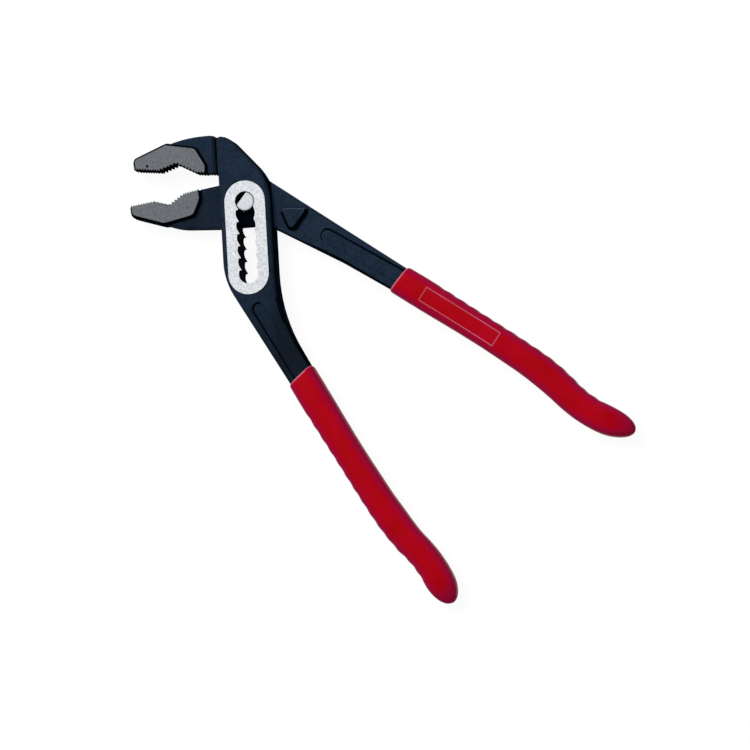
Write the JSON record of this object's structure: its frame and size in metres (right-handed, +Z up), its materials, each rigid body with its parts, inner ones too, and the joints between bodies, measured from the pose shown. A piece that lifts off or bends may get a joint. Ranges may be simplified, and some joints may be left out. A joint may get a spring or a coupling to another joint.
{
  "type": "water pump pliers",
  "caption": "Slip-joint water pump pliers with a slotted box joint, ratchet notches for the hinge pin, toothed V jaws and red dipped grips.",
  "frame": {"origin": "middle of the footprint at the height of the face that the tool lies on, with the handles apart", "axes": "+X across the slot away from the jaws, +Y along the slot towards the upper jaw, +Z up through the tool's thickness, along the hinge pin"},
  "size_m": [0.2278, 0.2236, 0.0135],
  "materials": {
    "forged_steel": "blue-black forged surface, satin, with the jaw faces and the slot's raised ring ground bright",
    "pin_steel": "ground bright",
    "red_dip": "soft dipped vinyl, smooth, half gloss"
  },
  "bodies": {
    "outer": {"outer_lever": "forged_steel", "outer_grip": "red_dip"},
    "pin": {"hinge_pin": "pin_steel"},
    "inner": {"inner_lever": "forged_steel", "inner_grip": "red_dip"}
  },
  "joints": [
    {"name": "jaw_shift", "type": "slide", "parent": "outer", "child": "pin", "axis": [0, -1, 0], "range_m": [0, 0.0336]},
    {"name": "handles", "type": "hinge", "parent": "pin", "child": "inner", "pos_m": [-0.059, 0.0793, 0.00675], "axis": [0, 0, 1], "range_deg": [-16.7, 45]}
  ]
}
